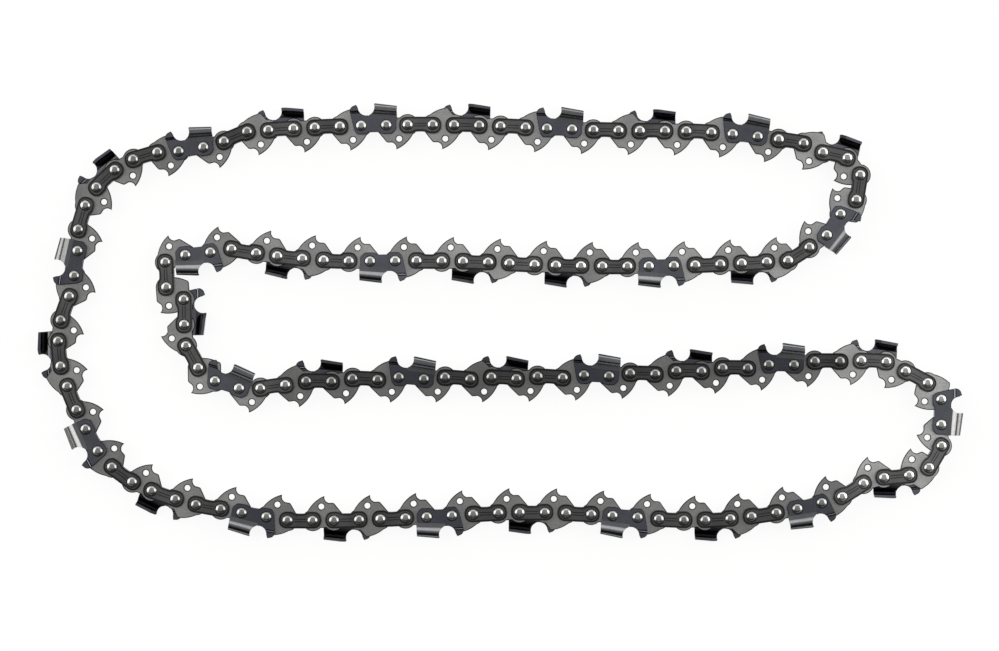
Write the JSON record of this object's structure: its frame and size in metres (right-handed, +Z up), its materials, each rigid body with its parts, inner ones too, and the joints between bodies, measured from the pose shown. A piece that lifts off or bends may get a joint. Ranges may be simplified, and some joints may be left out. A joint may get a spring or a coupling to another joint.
{
  "type": "chainsaw chain loop",
  "caption": "Closed loop of saw chain: hooked drive links, waisted tie straps and left and right cutters with depth gauges, held by rivets, lying on its side.",
  "frame": {"origin": "centre of the loop's bounding box, on the surface that the loop lies on", "axes": "+X along the loop's length towards its two bent ends, +Y across it, +Z up, across the chain's width"},
  "size_m": [0.3294, 0.1562, 0.0062],
  "materials": {
    "drive_link_steel": "satin",
    "strap_steel": "satin",
    "cutter_steel": "polished"
  },
  "bodies": {
    "top_run": {"top_run_bumper_drive_links": "drive_link_steel", "top_run_drive_links": "drive_link_steel", "top_run_cutters": "cutter_steel", "top_run_tie_straps": "strap_steel", "top_run_riveted_straps": "strap_steel"},
    "upper_bend": {"upper_bend_bumper_drive_links": "drive_link_steel", "upper_bend_drive_links": "drive_link_steel", "upper_bend_cutters": "cutter_steel", "upper_bend_tie_straps": "strap_steel", "upper_bend_riveted_straps": "strap_steel"},
    "upper_inner_run": {"upper_inner_run_bumper_drive_links": "drive_link_steel", "upper_inner_run_drive_links": "drive_link_steel", "upper_inner_run_cutters": "cutter_steel", "upper_inner_run_tie_straps": "strap_steel", "upper_inner_run_riveted_straps": "strap_steel"},
    "inner_bend": {"inner_bend_bumper_drive_links": "drive_link_steel", "inner_bend_drive_links": "drive_link_steel", "inner_bend_cutters": "cutter_steel", "inner_bend_tie_straps": "strap_steel", "inner_bend_riveted_straps": "strap_steel"},
    "lower_inner_run": {"lower_inner_run_bumper_drive_links": "drive_link_steel", "lower_inner_run_drive_links": "drive_link_steel", "lower_inner_run_cutters": "cutter_steel", "lower_inner_run_tie_straps": "strap_steel", "lower_inner_run_riveted_straps": "strap_steel"},
    "lower_bend": {"lower_bend_bumper_drive_links": "drive_link_steel", "lower_bend_drive_links": "drive_link_steel", "lower_bend_cutters": "cutter_steel", "lower_bend_tie_straps": "strap_steel", "lower_bend_riveted_straps": "strap_steel"},
    "bottom_run": {"bottom_run_bumper_drive_links": "drive_link_steel", "bottom_run_drive_links": "drive_link_steel", "bottom_run_cutters": "cutter_steel", "bottom_run_tie_straps": "strap_steel", "bottom_run_riveted_straps": "strap_steel"},
    "left_run": {"left_run_bumper_drive_links": "drive_link_steel", "left_run_drive_links": "drive_link_steel", "left_run_cutters": "cutter_steel", "left_run_tie_straps": "strap_steel", "left_run_riveted_straps": "strap_steel"}
  },
  "joints": [
    {"name": "upper_arm_swing", "type": "hinge", "parent": "left_run", "child": "top_run", "pos_m": [-0.0899, 0.06794, 0.00309], "axis": [0, 0, 1], "range_deg": [-3, 8]},
    {"name": "upper_bend_pivot", "type": "hinge", "parent": "top_run", "child": "upper_bend", "pos_m": [0.10786, 0.06378, 0.00309], "axis": [0, 0, 1], "range_deg": [-8, 3]},
    {"name": "upper_inner_pivot", "type": "hinge", "parent": "upper_bend", "child": "upper_inner_run", "pos_m": [0.10232, 0.02205, 0.00309], "axis": [0, 0, 1], "range_deg": [-3, 8]},
    {"name": "inner_bend_pivot", "type": "hinge", "parent": "upper_inner_run", "child": "inner_bend", "pos_m": [-0.09545, 0.02621, 0.00309], "axis": [0, 0, 1], "range_deg": [-8, 3]},
    {"name": "lower_arm_swing", "type": "hinge", "parent": "inner_bend", "child": "lower_inner_run", "pos_m": [-0.07634, -0.02209, 0.00309], "axis": [0, 0, 1], "range_deg": [-8, 3]},
    {"name": "lower_bend_pivot", "type": "hinge", "parent": "lower_inner_run", "child": "lower_bend", "pos_m": [0.12079, -0.0137, 0.00309], "axis": [0, 0, 1], "range_deg": [-3, 8]},
    {"name": "bottom_run_pivot", "type": "hinge", "parent": "lower_bend", "child": "bottom_run", "pos_m": [0.12158, -0.06187, 0.00309], "axis": [0, 0, 1], "range_deg": [-8, 3]}
  ],
  "couplings": [
    {"joint": "upper_bend_pivot", "follows": "upper_arm_swing", "ratio": -1},
    {"joint": "upper_inner_pivot", "follows": "upper_arm_swing", "ratio": 1},
    {"joint": "inner_bend_pivot", "follows": "upper_arm_swing", "ratio": -1},
    {"joint": "lower_bend_pivot", "follows": "lower_arm_swing", "ratio": -1},
    {"joint": "bottom_run_pivot", "follows": "lower_arm_swing", "ratio": 1}
  ]
}
